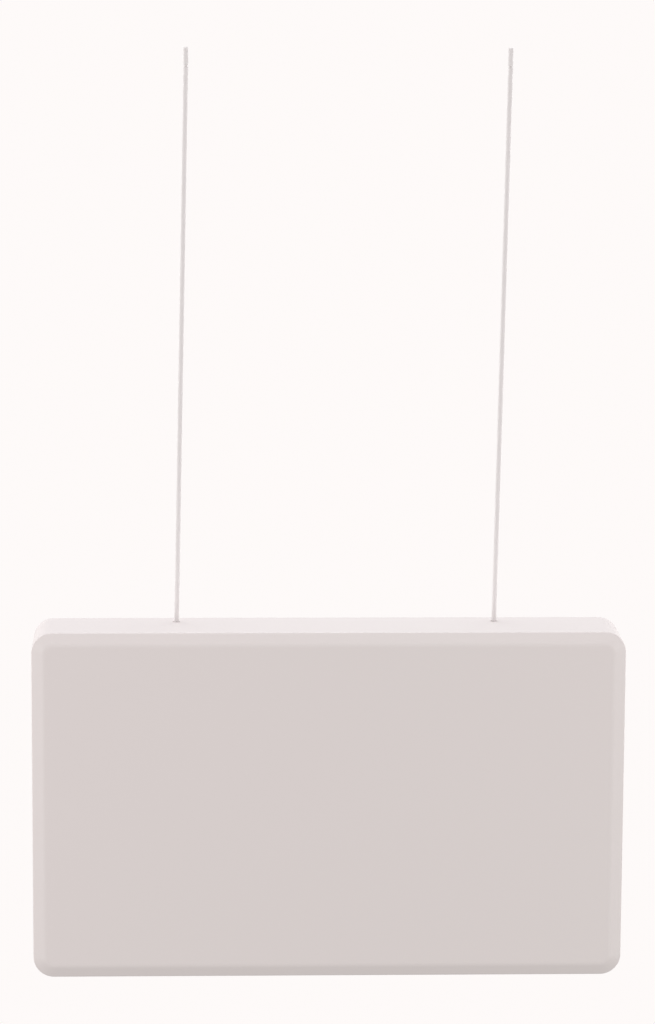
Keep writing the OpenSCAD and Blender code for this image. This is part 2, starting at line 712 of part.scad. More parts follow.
module reflector_tray() color("lightgray") hung() difference() {
    block([-tray_w / 2, tray_top, reflector_front - tray_rim],
          [tray_w / 2, tray_top + tray_h, reflector_rear]);
    block([-tray_w / 2 + reflector_t, tray_top + reflector_t, reflector_front - tray_rim - 1],
          [tray_w / 2 - reflector_t, tray_top + tray_h - reflector_t, reflector_front]);
    for (p = standoffs) rod(p[0], p[1], m3_r + screw_clear, reflector_front - 1, reflector_rear + 1);
    for (i = [0:patch_count - 1])
        rod(feed_at(i)[0], feed_at(i)[1], bush_r + slip, reflector_front - 1, reflector_rear + 1);
}

// A square plate with two cut corners, which give the antenna its circular polarisation.
module patch(i) color("goldenrod") hung() translate([patch_at(i)[0], patch_at(i)[1], patch_depth]) {
    half = patch_size / 2;
    difference() {
        linear_extrude(patch_t) polygon([
            [-half + patch_cut, -half], [half, -half], [half, half - patch_cut],
            [half - patch_cut, half], [-half, half], [-half, -half + patch_cut]
        ]);
        translate([0, patch_feed_y, -1]) cylinder(r = probe_r + slip, h = patch_t + 2);
    }
}

function spacer_at(i, x, y) = patch_at(i) + [x, y] * (patch_size / 2 - spacer_inset);

module patch_spacers() color("ivory") hung() for (i = [0:patch_count - 1], x = [-1, 1], y = [-1, 1]) {
    p = spacer_at(i, x, y);
    rod(p[0], p[1], spacer_r, patch_depth + patch_t, reflector_front);
}

module feed_probes() color("gold") hung() for (i = [0:patch_count - 1])
    rod(feed_at(i)[0], feed_at(i)[1], probe_r, patch_depth - 0.5, reflector_rear + feed_socket_t);

module feed_bushes() color("ivory") hung() for (i = [0:patch_count - 1]) difference() {
    union() {
        rod(feed_at(i)[0], feed_at(i)[1], bush_r, reflector_front - 2, reflector_rear + eps);
        rod(feed_at(i)[0], feed_at(i)[1], bush_flange_r, reflector_rear, reflector_rear + feed_socket_t);
    }
    rod(feed_at(i)[0], feed_at(i)[1], probe_r + slip, reflector_front - 3,
        reflector_rear + feed_socket_t + 1);
}

// ---------------------------------------------------------------- cables and boards

// Which antenna each coaxial socket serves, from left to right, so that no jumper crosses another.
coax_order = [3, 0, 1, 4, 2, 5];
function coax_at(i) = [(i - (patch_count - 1) / 2) * coax_step, coax_row];

// A jumper: forward from its socket, a bend, straight across, a bend, and forward to the feed point.
module jumper(from, to, z_from, z_to) {
    d = to - from;
    len = norm(d);
    r = coax_d / 2;
    translate([from[0], from[1], 0]) rotate(atan2(d[1], d[0])) {
        rod(0, 0, r, coax_plane + coax_bend, z_from);
        translate([coax_bend, 0, coax_plane + coax_bend]) rotate([-90, 0, 0])
            rotate([0, 0, 90]) rotate_extrude(angle = 90) translate([coax_bend, 0]) circle(r);
        translate([coax_bend, 0, coax_plane]) rotate([0, 90, 0]) cylinder(r = r, h = len - 2 * coax_bend);
        translate([len - coax_bend, 0, coax_plane - coax_bend]) rotate([-90, 0, 0])
            rotate([0, 0, 270]) rotate_extrude(angle = 90) translate([coax_bend, 0]) circle(r);
        rod(len, 0, r, z_to, coax_plane - coax_bend);
    }
}

module coax_jumpers() color("peru") hung() for (i = [0:patch_count - 1])
    jumper(coax_at(i), feed_at(coax_order[i]), board_front - 5, reflector_rear + feed_socket_t);

module coax_sockets() color("gold") hung() for (i = [0:patch_count - 1])
    rod(coax_at(i)[0], coax_at(i)[1], 3, board_front - 5, board_front);

module board(x, y0, w, h) difference() {
    block([x - w / 2, y0, board_front], [x + w / 2, y0 + h, board_rear]);
    for (p = board_holes(x, y0, w, h)) rod(p[0], p[1], m3_r + screw_clear, board_front - 1, board_rear + 1);
}

function board_holes(x, y0, w, h) = [
    for (i = [-1, 1], y = [y0 + board_inset, y0 + h - board_inset]) [x + i * (w / 2 - board_inset), y]
];

standing_boards = [
    [-side_board_x, side_board_top, side_board_w, reader_h],
    [side_board_x, side_board_top, side_board_w, power_h],
    [0, switch_top, switch_w, switch_h]
];

module board_standoffs() color("silver") hung() for (b = standing_boards,
        p = board_holes(b[0], b[1], b[2], b[3])) difference() {
    rod(p[0], p[1], 2.8, board_rear, chassis_front);
    rod(p[0], p[1], m3_r + slip, board_rear - 1, chassis_front - 1);
}

module board_screws() color("silver") hung() {
    for (b = standing_boards, p = board_holes(b[0], b[1], b[2], b[3]))
        screw(p[0], p[1], board_front, m3_r, board_t + 4, 1);
    for (p = interface_holes) screw(p[0], p[1], interface_front, m3_r, board_t + 6, 1);
}

module switch_board() color("seagreen") hung() {
    board(0, switch_top, switch_w, switch_h);
    for (x = [-30, 0, 30]) slab(x, switch_top + 8, 10, 8, board_front - 1.2, board_front + eps);
}

module reader_board() color("seagreen") hung() {
    x = -side_board_x;
    board(x, side_board_top, side_board_w, reader_h);
    for (c = [[-34, 24, 18, 18, 2], [-34, 50, 14, 12, 1.6], [-8, 82, 22, 8, 5], [30, 84, 10, 14, 3]])
        slab(x + c[0], side_board_top + c[1], c[2], c[3], board_front - c[4], board_front + eps);
}

// Middle and size of the can over the radio, which also sets where its heat goes through to the chassis.
radio_at = [18 - side_board_x, side_board_top + 38];
shield = [62, 46, 8];

module reader_shield() color("silver") hung() difference() {
    slab(radio_at[0], radio_at[1], shield[0], shield[1], board_front - shield[2], board_front);
    slab(radio_at[0], radio_at[1], shield[0] - 2, shield[1] - 2,
         board_front - shield[2] + 1, board_front + 1);
}

module thermal_pad() color("lightpink") hung()
    slab(radio_at[0], radio_at[1], 40, 36, board_rear, chassis_front);

module heat_sink() color("silver") hung() {
    base = 2;
    slab(-side_board_x, sink_y, sink_w, sink_h, chassis_rear, chassis_rear + base);
    for (i = [-fin_pairs:fin_pairs])
        slab(-side_board_x + i * fin_step, sink_y, fin_t, sink_h,
             chassis_rear + base - eps, housing_d - wall - 1);
}

module power_board() color("seagreen") hung() {
    x = side_board_x;
    board(x, side_board_top, side_board_w, power_h);
    slab(x + 36, side_board_top + 70, 14, 16, board_front - 5, board_front + eps);
    slab(x - 36, side_board_top + 24, 18, 10, board_front - 9, board_front + eps);
}

module power_parts() color("dimgray") hung() {
    x = side_board_x;
    // transformer
    slab(x - 4, side_board_top + 32, 26, 22, board_front - 15, board_front);
    // smoothing capacitors
    for (i = [0:2]) rod(x + 18 + i * 13, side_board_top + 20, 5, board_front - 16, board_front);
    // toroidal choke
    translate([x - 30, side_board_top + 62, board_front - 4]) rotate_extrude() translate([8, 0]) circle(4);
}

// ---------------------------------------------------------------- underside light and sounder

module light_bracket() color("silver") hung() {
    y = housing_h - wall - light_flange_t - led_drop - board_t;
    block([-light_len / 2, y - 1.5, light_v - 6], [light_len / 2, y, chassis_front]);
    block([-light_len / 2, chassis_bottom - 9, chassis_front - 1.5], [light_len / 2, y, chassis_front]);
}

module light_board() color("seagreen") hung() {
    y = housing_h - wall - light_flange_t - led_drop - board_t;
    block([-light_len / 2 + 2, y, light_v - 6], [light_len / 2 - 2, y + board_t, light_v + 6]);
    for (i = [0:led_count - 1]) {
        x = (i - (led_count - 1) / 2) * light_len / led_count;
        block([x - 2.5, y + board_t - eps, light_v - 2.5], [x + 2.5, y + board_t + 1.6, light_v + 2.5]);
    }
}

module sounder() color("dimgray") hung() difference() {
    drop(sounder_x, light_v, housing_h - wall - sounder_h, housing_h - wall, sounder_d / 2, sounder_d / 2);
    drop(sounder_x, light_v, housing_h - wall - 3, housing_h, sounder_d / 2 - 3, sounder_d / 2 - 3);
}

// ---------------------------------------------------------------- nodes

front_cover();
rear_housing();
cover_screws();
housing_screws();
light_diffuser();
rating_plate();
hatch();
hatch_keepers();
hatch_magnets();
hinge_pins();
connector_bay();
end_socket(-1);  // end_socket_left
end_socket(1);  // end_socket_right
upper_ball(-1);  // upper_ball_left
upper_ball(1);  // upper_ball_right
wire(-1);  // wire_left
wire(1);  // wire_right
lower_ball(-1);  // lower_ball_left
lower_ball(1);  // lower_ball_right
hanger_block(-1);  // hanger_block_left
hanger_block(1);  // hanger_block_right
ball_seats();
seat_plugs();
hanger_screws();
chassis_plate();
reflector_standoffs();
reflector_screws();
reflector_tray();
for (i = [0:patch_count - 1]) patch(i);
patch_spacers();
feed_probes();
feed_bushes();
coax_jumpers();
switch_board();
coax_sockets();
reader_board();
reader_shield();
thermal_pad();
heat_sink();
power_board();
power_parts();
board_standoffs();
board_screws();
interface_board();
network_jack();
network_contacts();
power_jack();
io_terminal();
service_port();
reset_button();
reset_switch();
light_pipes();
light_board();
light_bracket();
sounder();
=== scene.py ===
"""Looks of the overhead detection gate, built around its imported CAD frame.

Lengths are in metres, in the part's own frame: +X right seen from the front, +Y to the back, +Z up.
Shapes on the housing are laid out by at(x, y, z): x right of its middle, y down from its top and z back
from its front face.
"""

import json
import math

import bmesh
import bpy
from mathutils import Matrix, Vector


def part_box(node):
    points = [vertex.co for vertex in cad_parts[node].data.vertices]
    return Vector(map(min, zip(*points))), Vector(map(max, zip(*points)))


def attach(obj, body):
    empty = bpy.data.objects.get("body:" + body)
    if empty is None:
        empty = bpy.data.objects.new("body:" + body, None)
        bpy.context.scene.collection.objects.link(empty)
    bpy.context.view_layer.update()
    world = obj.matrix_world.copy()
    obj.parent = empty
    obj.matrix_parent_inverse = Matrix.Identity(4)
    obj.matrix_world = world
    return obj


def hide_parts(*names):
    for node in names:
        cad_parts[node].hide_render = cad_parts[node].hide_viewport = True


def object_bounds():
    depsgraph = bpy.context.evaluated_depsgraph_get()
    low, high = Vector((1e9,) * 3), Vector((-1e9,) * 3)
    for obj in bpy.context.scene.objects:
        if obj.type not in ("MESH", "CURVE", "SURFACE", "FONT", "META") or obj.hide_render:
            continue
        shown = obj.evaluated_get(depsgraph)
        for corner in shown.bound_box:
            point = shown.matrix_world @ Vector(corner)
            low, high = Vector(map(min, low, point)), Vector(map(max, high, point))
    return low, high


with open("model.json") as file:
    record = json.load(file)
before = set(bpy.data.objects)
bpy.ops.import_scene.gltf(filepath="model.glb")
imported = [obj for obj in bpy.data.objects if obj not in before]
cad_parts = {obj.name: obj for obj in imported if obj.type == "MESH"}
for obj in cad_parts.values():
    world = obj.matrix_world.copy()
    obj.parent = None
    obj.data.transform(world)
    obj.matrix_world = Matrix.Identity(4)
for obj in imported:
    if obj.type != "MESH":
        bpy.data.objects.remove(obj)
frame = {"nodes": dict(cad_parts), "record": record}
cad_low, cad_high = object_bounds()

MM = 0.001

# ---------------------------------------------------------------- sizes

rear_low, rear_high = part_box("rear_housing")
hatch_low, hatch_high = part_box("hatch")
light_low, light_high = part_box("light_diffuser")
plate_low, plate_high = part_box("rating_plate")

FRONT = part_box("front_cover")[0].y
TOP = rear_high.z
MIDDLE = (rear_low.x + rear_high.x) / 2
WIDTH = rear_high.x - rear_low.x
HEIGHT = rear_high.z - rear_low.z
DEPTH = rear_high.y - FRONT

CORNER_R = 21 * MM
WALL = 2.6 * MM
BEVEL_D = 5.5 * MM
BEVEL_R = 12 * MM
BEVEL_SLOPE = math.radians(24)
RIM_R = 1.5 * MM
COVER_D = BEVEL_D + RIM_R * math.tan((math.pi / 2 - BEVEL_SLOPE) / 2)
SEAM_GAP = 0.1 * MM
SEAM = COVER_D + SEAM_GAP
BACK_R = 4 * MM
EDGE_R = 0.1 * MM

wire_low, wire_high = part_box("wire_left")
WIRE_R = (wire_high.y - wire_low.y) / 2
ROPE_R = 1 * MM
BALL_R = 2 * MM
CUP_SLIP = 0.05 * MM
BALL_DOWN = WALL + 0.7 * MM + 0.48 * BALL_R
SEAT_TILT = math.radians(12.5)
NECK = BALL_R + 0.35 * MM
STRANDS = 6
LAY = 22 * MM
LAY_DEPTH = 0.03 * MM

BAY_DOWN = 98 * MM
HATCH_T = 2.4 * MM
HATCH_CORNER_R = 1.5 * MM
BARREL_R = 3 * MM
HATCH_GAP = 0.5 * MM
SCOOP_R = 8 * MM
OUTLET_R = 5 * MM
OUTLET_H = 13 * MM
OUTLET_X = 31 * MM
HINGE_PIN_R = 1 * MM
HINGE_PIN_SEAT = 7 * MM

VENT_W = 3 * MM
VENT_H = 52 * MM
VENT_STEP = 8 * MM
VENT_COUNT = 12
VENT_X = 190 * MM
VENT_UPPER = 106 * MM
VENT_LOWER = 98 * MM
SCREW_R = 2 * MM
HEAD_R = 3.7 * MM
HEAD_H = 2.2 * MM
HEAD_POCKET_R = 4.5 * MM
HEAD_POCKET_D = 3 * MM
HEAD_SKIN = 0.6 * MM
COVER_SCREW_R = 1.5 * MM
COVER_HEAD_R = 2.8 * MM
COVER_HEAD_H = 1.2 * MM
COVER_POCKET_R = 3 * MM
COVER_POCKET_D = 1.3 * MM
PLATE_GAP = 0.3 * MM
PLATE_POCKET_D = 0.5 * MM
LIGHT_FLANGE = 2 * MM
LIGHT_FLANGE_T = 1.4 * MM
LIGHT_GAP = 0.15 * MM
PAST = 1 * MM
SOUND_STEP = 5 * MM
TINY_R = 0.01 * MM
SOUND_R = 1.1 * MM
SOUND_X = 190 * MM


def at(x, y, z):
    """A point from the housing's front view."""
    return Vector((MIDDLE + x, FRONT + z, TOP - y))


def middle(node):
    low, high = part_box(node)
    return (low + high) / 2


# ---------------------------------------------------------------- camera

def make_camera():
    """The camera stands far before the front face, above and left of it, and is a little rolled."""
    data = bpy.data.cameras.new("camera")
    data.sensor_width = 36
    data.lens = 140.52
    data.clip_end = 100
    camera = bpy.data.objects.new("camera", data)
    camera.location = (MIDDLE - 0.1483, FRONT - 3.934, TOP + 0.8176)
    yaw, pitch, roll = math.radians(2.117), math.radians(9.991), math.radians(0.308)
    turn = Matrix.Rotation(-yaw, 3, "Z") @ Matrix.Rotation(math.pi / 2 - pitch, 3, "X")
    camera.rotation_euler = (turn @ Matrix.Rotation(roll, 3, "Z")).to_euler()
    bpy.context.collection.objects.link(camera)
    bpy.context.scene.camera = camera


make_camera()


# ---------------------------------------------------------------- shader helpers

def new_material(name):
    material = bpy.data.materials.new(name)
    material.use_nodes = True
    tree = material.node_tree
    return material, tree, tree.nodes["Principled BSDF"]


def noise(tree, scale, detail=2.0, stretch=(1, 1, 1)):
    """Noise in the part's frame; stretch scales its axes."""
    coords = tree.nodes.new("ShaderNodeTexCoord")
    mapping = tree.nodes.new("ShaderNodeMapping")
    mapping.inputs["Scale"].default_value = stretch
    texture = tree.nodes.new("ShaderNodeTexNoise")
    texture.inputs["Scale"].default_value = scale
    texture.inputs["Detail"].default_value = detail
    tree.links.new(coords.outputs["Object"], mapping.inputs["Vector"])
    tree.links.new(mapping.outputs["Vector"], texture.inputs["Vector"])
    return texture.outputs["Fac"]


def cells(tree, scale):
    """Voronoi cells in the part's frame."""
    coords = tree.nodes.new("ShaderNodeTexCoord")
    texture = tree.nodes.new("ShaderNodeTexVoronoi")
    texture.inputs["Scale"].default_value = scale
    tree.links.new(coords.outputs["Object"], texture.inputs["Vector"])
    return texture.outputs["Distance"]


def shades(tree, source, low, high, start=0.3, end=0.7):
    """Maps a 0 to 1 value between two colours."""
    node = tree.nodes.new("ShaderNodeValToRGB")
    node.color_ramp.elements[0].position = start
    node.color_ramp.elements[1].position = end
    node.color_ramp.elements[0].color = (*low, 1)
    node.color_ramp.elements[1].color = (*high, 1)
    tree.links.new(source, node.inputs["Fac"])
    return node.outputs["Color"]


def span(tree, source, low, high):
    """Maps a 0 to 1 value between two numbers."""
    node = tree.nodes.new("ShaderNodeMapRange")
    node.inputs["To Min"].default_value = low
    node.inputs["To Max"].default_value = high
    tree.links.new(source, node.inputs["Value"])
    return node.outputs["Result"]


def bump(tree, shader, height, strength, distance, under=None):
    node = tree.nodes.new("ShaderNodeBump")
    node.inputs["Strength"].default_value = strength
    node.inputs["Distance"].default_value = distance
    tree.links.new(height, node.inputs["Height"])
    if under is not None:
        tree.links.new(under, node.inputs["Normal"])
    tree.links.new(node.outputs["Normal"], shader.inputs["Normal"])
    return node.outputs["Normal"]


def worn_edges(tree, radius):
    """About 0 on open faces and up to 1 along convex edges."""
    geometry = tree.nodes.new("ShaderNodeNewGeometry")
    bevel = tree.nodes.new("ShaderNodeBevel")
    bevel.samples = 4
    bevel.inputs["Radius"].default_value = radius
    dot = tree.nodes.new("ShaderNodeVectorMath")
    dot.operation = "DOT_PRODUCT"
    tree.links.new(geometry.outputs["Normal"], dot.inputs[0])
    tree.links.new(bevel.outputs["Normal"], dot.inputs[1])
    wear = tree.nodes.new("ShaderNodeMapRange")
    wear.inputs["From Min"].default_value = 1.0
    wear.inputs["From Max"].default_value = 0.85
    tree.links.new(dot.outputs["Value"], wear.inputs["Value"])
    return wear.outputs["Result"]


# ---------------------------------------------------------------- materials

def housing_plastic():
    """Off-white moulded plastic: spark-eroded grain, faint flow shades, and a slightly polished skin."""
    material, tree, shader = new_material("housing_plastic")
    flow = noise(tree, 2.2, 1.0)
    tree.links.new(shades(tree, flow, (0.774, 0.721, 0.705), (0.779, 0.718, 0.705)),
                   shader.inputs["Base Color"])
    tree.links.new(span(tree, noise(tree, 60, 4.0), 0.36, 0.46), shader.inputs["Roughness"])
    coarse = bump(tree, shader, cells(tree, 1500), 0.22, 0.00004)
    bump(tree, shader, noise(tree, 3800, 3.0), 0.25, 0.00003, under=coarse)
    shader.inputs["Specular IOR Level"].default_value = 0.45
    return material


def diffuser_plastic():
    """Milky acrylic, smooth outside."""
    material, tree, shader = new_material("diffuser_plastic")
    tree.links.new(shades(tree, noise(tree, 14, 3.0), (0.78, 0.77, 0.75), (0.84, 0.83, 0.81)),
                   shader.inputs["Base Color"])
    tree.links.new(span(tree, noise(tree, 300, 2.0), 0.14, 0.2), shader.inputs["Roughness"])
    shader.inputs["Subsurface Weight"].default_value = 0.4
    shader.inputs["Subsurface Radius"].default_value = (0.004, 0.004, 0.004)
    shader.inputs["Subsurface Scale"].default_value = 1.0
    bump(tree, shader, noise(tree, 900, 2.0), 0.08, 0.00003)
    return material


def wire_coat():
    """Satin nylon drawn over the rope, a touch greyer than the housing, with faint drawing marks."""
    material, tree, shader = new_material("wire_coating")
    tree.links.new(shades(tree, noise(tree, 45, 3.0), (0.785, 0.748, 0.742), (0.8, 0.763, 0.758)),
                   shader.inputs["Base Color"])
    tree.links.new(span(tree, noise(tree, 240, 2.0, (1, 1, 0.1)), 0.3, 0.42), shader.inputs["Roughness"])
    bump(tree, shader, noise(tree, 1400, 2.0, (1, 1, 0.08)), 0.2, 0.00002)
    shader.inputs["Specular IOR Level"].default_value = 0.4
    return material


def metal(name, low, high, rough, grain=(1, 1, 1), scale=500, strength=0.15, patch=18):
    """Bare or plated metal with shade patches and a fine grain that may run one way."""
    material, tree, shader = new_material(name)
    shader.inputs["Metallic"].default_value = 1.0
    tree.links.new(shades(tree, noise(tree, patch, 4.0), low, high), shader.inputs["Base Color"])
    tree.links.new(span(tree, noise(tree, scale, 3.0, grain), rough - 0.08, rough + 0.1),
                   shader.inputs["Roughness"])
    bump(tree, shader, noise(tree, scale, 2.0, grain), strength, 0.00003)
    return material


def galvanised(name):
    """Zinc-dipped sheet with its crystal spangle."""
    material, tree, shader = new_material(name)
    shader.inputs["Metallic"].default_value = 1.0
    spangle = cells(tree, 120)
    tree.links.new(shades(tree, spangle, (0.46, 0.48, 0.5), (0.64, 0.66, 0.68), 0.1, 0.9),
                   shader.inputs["Base Color"])
    tree.links.new(span(tree, spangle, 0.3, 0.52), shader.inputs["Roughness"])
    bump(tree, shader, noise(tree, 700, 2.0), 0.1, 0.00003)
    return material


def moulded(name, low, high, rough=0.45, scale=1400, strength=0.2, patch=12):
    """Moulded plastic, rubber or ceramic: two close shades and a grain."""
    material, tree, shader = new_material(name)
    tree.links.new(shades(tree, noise(tree, patch, 3.0), low, high), shader.inputs["Base Color"])
    tree.links.new(span(tree, noise(tree, 90, 3.0), rough - 0.05, rough + 0.07), shader.inputs["Roughness"])
    bump(tree, shader, noise(tree, scale, 2.0), strength, 0.00003)
    return material


def end_paint():
    """Powder coat on the wires' end fittings, in the wires' own shade, with faintly worn rims."""
    material, tree, shader = new_material("end_fitting")
    paint = shades(tree, noise(tree, 40, 3.0), (0.785, 0.748, 0.742), (0.8, 0.763, 0.758))
    mix = tree.nodes.new("ShaderNodeMixRGB")
    mix.inputs["Color2"].default_value = (0.68, 0.66, 0.65, 1)
    tree.links.new(worn_edges(tree, 0.0003), mix.inputs["Fac"])
    tree.links.new(paint, mix.inputs["Color1"])
    tree.links.new(mix.outputs["Color"], shader.inputs["Base Color"])
    tree.links.new(span(tree, noise(tree, 300, 2.0), 0.35, 0.45), shader.inputs["Roughness"])
    bump(tree, shader, noise(tree, 900, 1.0), 0.25, 0.00004)
    return material


def circuit_board():
    """Green solder mask with tracks showing through it."""
    material, tree, shader = new_material("circuit_board")
    coords = tree.nodes.new("ShaderNodeTexCoord")
    tracks = tree.nodes.new("ShaderNodeTexBrick")
    tracks.inputs["Scale"].default_value = 160
    tracks.inputs["Mortar Size"].default_value = 0.05
    tracks.inputs["Color1"].default_value = (0.012, 0.09, 0.045, 1)
    tracks.inputs["Color2"].default_value = (0.016, 0.12, 0.06, 1)
    tracks.inputs["Mortar"].default_value = (0.03, 0.2, 0.1, 1)
    turn = tree.nodes.new("ShaderNodeMapping")
    turn.inputs["Rotation"].default_value = (math.radians(90), 0, 0)
    tree.links.new(coords.outputs["Object"], turn.inputs["Vector"])
    tree.links.new(turn.outputs["Vector"], tracks.inputs["Vector"])
    tree.links.new(tracks.outputs["Color"], shader.inputs["Base Color"])
    tree.links.new(span(tree, noise(tree, 200, 2.0), 0.22, 0.32), shader.inputs["Roughness"])
    bump(tree, shader, tracks.outputs["Fac"], 0.3, 0.00004)
    return material


def clear_pipe():
    """Clear acrylic for the light pipes."""
    material, tree, shader = new_material("light_pipe")
    shader.inputs["Transmission Weight"].default_value = 0.8
    shader.inputs["Base Color"].default_value = (0.85, 0.95, 0.95, 1)
    tree.links.new(span(tree, noise(tree, 200, 2.0), 0.05, 0.12), shader.inputs["Roughness"])
    return material


MATERIALS = {
    "housing_plastic": housing_plastic(),
    "diffuser_plastic": diffuser_plastic(),
    "wire_coating": wire_coat(),
    "end_fitting": end_paint(),
    "label_metal": metal("label_metal", (0.72, 0.72, 0.73), (0.8, 0.8, 0.81), 0.34, (0.03, 1, 1), 900, 0.12),
    "bay_plastic": moulded("bay_plastic", (0.50, 0.50, 0.50), (0.54, 0.54, 0.54)),
    "ball_steel": metal("ball_steel", (0.6, 0.6, 0.62), (0.7, 0.7, 0.71), 0.16, scale=250, strength=0.03),
    "zinc_steel": metal("zinc_steel", (0.52, 0.53, 0.55), (0.64, 0.65, 0.67), 0.3, scale=600),
    "chassis_steel": galvanised("chassis_steel"),
    "hanger_zinc": metal("hanger_zinc", (0.42, 0.42, 0.44), (0.5, 0.5, 0.52), 0.5, scale=350, strength=0.4),
    "seat_bronze": metal("seat_bronze", (0.42, 0.3, 0.15), (0.55, 0.4, 0.2), 0.42, scale=800, strength=0.3),
    "reflector_aluminium": metal("reflector_aluminium", (0.66, 0.67, 0.68), (0.74, 0.75, 0.76), 0.35,
                                 (0.05, 1, 1), 700, 0.12),
    "patch_brass": metal("patch_brass", (0.62, 0.62, 0.58), (0.7, 0.7, 0.66), 0.28, (1, 1, 0.05), 600, 0.1),
    "insulator": moulded("insulator", (0.72, 0.70, 0.62), (0.8, 0.78, 0.7), 0.4),
    "gold_plate": metal("gold_plate", (0.72, 0.5, 0.18), (0.82, 0.6, 0.26), 0.22, scale=500, strength=0.05),
    "coax_jacket": moulded("coax_jacket", (0.22, 0.09, 0.04), (0.28, 0.12, 0.05), 0.35, 600),
    "circuit_board": circuit_board(),
    "shield_tin": metal("shield_tin", (0.6, 0.6, 0.59), (0.7, 0.7, 0.69), 0.3, (1, 1, 0.1), 500, 0.08),
    "thermal_rubber": moulded("thermal_rubber", (0.5, 0.28, 0.32), (0.55, 0.32, 0.36), 0.7, 900, 0.4),
    "sink_aluminium": metal("sink_aluminium", (0.6, 0.61, 0.62), (0.68, 0.69, 0.7), 0.38, (1, 1, 0.04), 700),
    "dark_plastic": moulded("dark_plastic", (0.012, 0.012, 0.013), (0.02, 0.02, 0.021), 0.42),
    "terminal_plastic": moulded("terminal_plastic", (0.03, 0.16, 0.06), (0.04, 0.2, 0.075), 0.38),
    "magnet": metal("magnet", (0.3, 0.3, 0.31), (0.4, 0.4, 0.41), 0.3, scale=400),
    "light_pipe": clear_pipe(),
}
plastic = MATERIALS["housing_plastic"]


def dress_frame():
    """Gives each CAD node the material of its slot."""
    for part in frame["record"]["subparts"]:
        obj = frame["nodes"][part["node"]]
        obj.data.materials.clear()
        obj.data.materials.append(MATERIALS[part["material_slot"]])


# ---------------------------------------------------------------- mesh helpers

def link(name, mesh, material):
    obj = bpy.data.objects.new(name, mesh)
    bpy.context.collection.objects.link(obj)
    mesh.materials.clear()
    mesh.materials.append(material)
    return obj


def shade(mesh, smooth_angle):
    """Smooth shading that stops at edges sharper than an angle."""
    for polygon in mesh.polygons:
        polygon.use_smooth = True
    mesh.set_sharp_from_angle(angle=math.radians(smooth_angle))


def mesh_object(name, bm, material, smooth_angle=32):
    mesh = bpy.data.meshes.new(name)
    bmesh.ops.recalc_face_normals(bm, faces=bm.faces)
    bm.to_mesh(mesh)
    bm.free()
    shade(mesh, smooth_angle)
    return link(name, mesh, material)


def settle(obj):
    """Applies an object's modifiers to its mesh."""
    graph = bpy.context.evaluated_depsgraph_get()
    mesh = bpy.data.meshes.new_from_object(obj.evaluated_get(graph))
    obj.modifiers.clear()
    obj.data = mesh


def weigh_normals(obj):
    """Keeps large flat faces flat beside small rounded ones."""
    modifier = obj.modifiers.new("weighted", "WEIGHTED_NORMAL")
    modifier.keep_sharp = True
    return settle(obj)


def plan_ring(inset, segments=24):
    """Points round the housing's plan, moved in by an inset, as (x, y) of at()."""
    r = CORNER_R - inset
    ax = WIDTH / 2 - CORNER_R
    points = []
    low = HEIGHT - CORNER_R
    corners = ((ax, low, 0), (-ax, low, 90), (-ax, CORNER_R, 180), (ax, CORNER_R, 270))
    for cx, cy, start in corners:
        for i in range(segments + 1):
            a = math.radians(start + 90 * i / segments)
            points.append((cx + r * math.cos(a), cy + r * math.sin(a)))
    return points


def loft(bm, rows):
    """Skins rings of points into a closed solid."""
    rings = [[bm.verts.new(p) for p in row] for row in rows]
    for a, b in zip(rings, rings[1:]):
        for i in range(len(a)):
            j = (i + 1) % len(a)
            bm.faces.new((a[i], a[j], b[j], b[i]))
    bm.faces.new(rings[0])
    bm.faces.new(rings[-1])


def shell_rows(line):
    """Rings at each (inset, depth) of an edge profile."""
    return [[at(x, y, depth) for x, y in plan_ring(inset)] for inset, depth in line]


def arc(cx, cy, r, start, end, steps):
    """Points on an arc, with its angles in degrees."""
    turn = [math.radians(start + (end - start) * i / steps) for i in range(steps + 1)]
    return [(cx + r * math.cos(a), cy + r * math.sin(a)) for a in turn]


def slot_outline(x, y, w, h, steps=8):
    """A slot with round ends, standing along y."""
    r = w / 2
    return arc(x, y + h / 2 - r, r, 0, 180, steps) + arc(x, y - h / 2 + r, r, 180, 360, steps)


def box_outline(x0, y0, x1, y1, r=0.0, steps=5):
    """A rectangle, with rounded corners if r is set."""
    if not r:
        return [(x0, y0), (x1, y0), (x1, y1), (x0, y1)]
    return (arc(x1 - r, y1 - r, r, 0, 90, steps) + arc(x0 + r, y1 - r, r, 90, 180, steps)
            + arc(x0 + r, y0 + r, r, 180, 270, steps) + arc(x1 - r, y0 + r, r, 270, 360, steps))


def back_prism(bm, outline, z0, z1):
    """A prism along depth."""
    loft(bm, [[at(x, y, z) for x, y in outline] for z in (z0, z1)])


def down_prism(bm, outline, y0, y1):
    """A prism along the down direction, from an outline in x and depth."""
    loft(bm, [[at(x, y, z) for x, z in outline] for y in (y0, y1)])


def disc(x, y, r, steps=24):
    return arc(x, y, r, 0, 360 * (steps - 1) / steps, steps - 1)


def turned(bm, centre, axis, line, steps=32):
    """A solid of revolution: line gives (radius, height) along an axis from a centre."""
    frame_rotation = Vector(axis).to_track_quat("Z", "Y").to_matrix()
    rows = []
    for r, h in line:
        ring = disc(0, 0, max(r, TINY_R), steps)
        rows.append([Vector(centre) + frame_rotation @ Vector((x, y, h)) for x, y in ring])
    loft(bm, rows)


def cut(obj, name, bm):
    """Cuts a closed mesh out of an object."""
    cutter = mesh_object(name, bm, plastic)
    modifier = obj.modifiers.new("cut", "BOOLEAN")
    modifier.operation = "DIFFERENCE"
    modifier.solver = "EXACT"
    modifier.object = cutter
    settle(obj)
    bpy.data.objects.remove(cutter)


